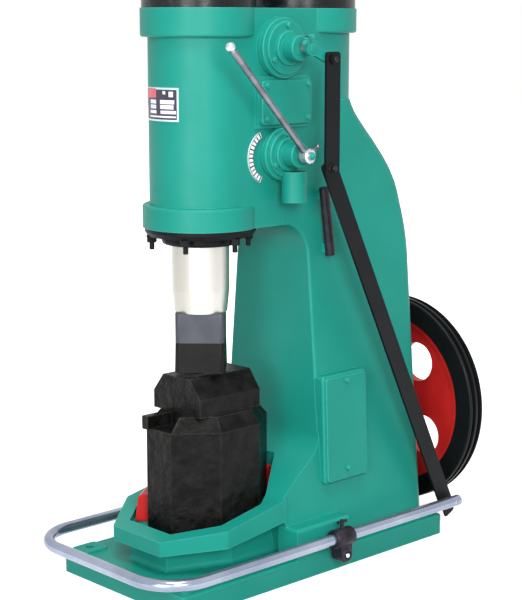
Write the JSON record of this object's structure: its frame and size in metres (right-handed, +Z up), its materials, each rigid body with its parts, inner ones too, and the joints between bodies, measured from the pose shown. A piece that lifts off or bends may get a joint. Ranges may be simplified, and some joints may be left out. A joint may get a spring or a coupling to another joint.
{
  "type": "air forging hammer",
  "caption": "Self-contained pneumatic forging hammer with a twin cylinder head, anvil in a socket, foot treadle linked to the valve, hand lever and flywheel.",
  "frame": {"origin": "the ram's vertical axis where it meets the floor", "axes": "+Z up, -X to the front where the smith stands, +X to the flywheel, -Y the side with the valves, hand lever and treadle link"},
  "size_m": [1.2865, 0.654, 1.622],
  "materials": {
    "teal_paint": "gloss machine paint over cast iron",
    "black_paint": "black paint",
    "machined_steel": "machined steel",
    "forged_black": "forged block, black scale",
    "red_paint": "gloss red paint",
    "white_enamel": "white enamel with dark marks",
    "dark_bar": "dark oiled iron",
    "plate_metal": "etched plate",
    "ram_steel": "ground and oiled",
    "die_grey": "dull machined steel",
    "bright_steel": "bright steel",
    "pipe_zinc": "galvanised pipe",
    "rim_black": "black paint"
  },
  "bodies": {
    "frame": {"frame_casting": "teal_paint", "anvil_block": "forged_black", "anvil_wedge_side": "red_paint", "anvil_wedge_rear": "red_paint", "lower_die": "forged_black", "lower_die_key": "forged_black", "ram_gland_flange": "black_paint", "ram_gland_ring": "black_paint", "ram_cylinder_cover": "black_paint", "compressor_cylinder_cover": "black_paint", "upper_valve_cover": "teal_paint", "lower_valve_cover": "teal_paint", "valve_chest_cover": "teal_paint", "lever_scale": "white_enamel", "column_side_cover": "teal_paint", "nameplate": "plate_metal", "side_bar": "dark_bar", "treadle_pin_right": "machined_steel", "treadle_pin_left": "machined_steel", "crank_bearing_cover": "teal_paint"},
    "ram_body": {"ram": "ram_steel", "upper_die_shank": "die_grey", "upper_die": "forged_black"},
    "treadle": {"treadle_pipe": "pipe_zinc", "treadle_clamp_right": "dark_bar", "treadle_clamp_left": "dark_bar", "clamp_screw_right": "dark_bar", "clamp_screw_left": "dark_bar", "link_foot_pin": "machined_steel"},
    "link": {"link_upper_bar": "black_paint", "link_lower_bar": "black_paint", "link_knee_bolt": "machined_steel"},
    "upper_valve": {"upper_valve_shaft": "machined_steel", "upper_valve_arm": "teal_paint"},
    "hand_lever_body": {"lower_valve_shaft": "machined_steel", "hand_lever_hub": "machined_steel", "hand_lever": "bright_steel", "lever_clamp_bolt": "bright_steel"},
    "flywheel": {"flywheel_disc": "red_paint", "flywheel_rim": "rim_black", "crankshaft": "machined_steel"}
  },
  "joints": [
    {"name": "ram_slide", "type": "slide", "parent": "frame", "child": "ram_body", "axis": [0, 0, 1], "range_m": [0, 0.175]},
    {"name": "treadle_hinge", "type": "hinge", "parent": "frame", "child": "treadle", "pos_m": [0.258, 0, 0.06], "axis": [0, -1, 0], "range_deg": [0, 5], "stiffness_Nm_per_rad": 300, "springref_deg": -6.88},
    {"name": "link_hinge", "type": "hinge", "parent": "treadle", "child": "link", "pos_m": [0.742, -0.268, 0.108], "axis": [0, -1, 0], "range_deg": [-5.6, 0]},
    {"name": "upper_valve_hinge", "type": "hinge", "parent": "frame", "child": "upper_valve", "pos_m": [0.162, -0.2, 1.46288], "axis": [0, -1, 0], "range_deg": [0, 37.2]},
    {"name": "hand_lever_hinge", "type": "hinge", "parent": "frame", "child": "hand_lever_body", "pos_m": [0.162, -0.25, 1.18081], "axis": [0, -1, 0], "range_deg": [-20, 70]},
    {"name": "flywheel_hinge", "type": "hinge", "parent": "frame", "child": "flywheel", "pos_m": [0.79, 0, 0.371], "axis": [1, 0, 0], "continuous": true}
  ],
  "couplings": [
    {"joint": "link_hinge", "follows": "treadle_hinge", "ratio": -1.1058},
    {"joint": "upper_valve_hinge", "follows": "treadle_hinge", "ratio": 7.4232}
  ]
}
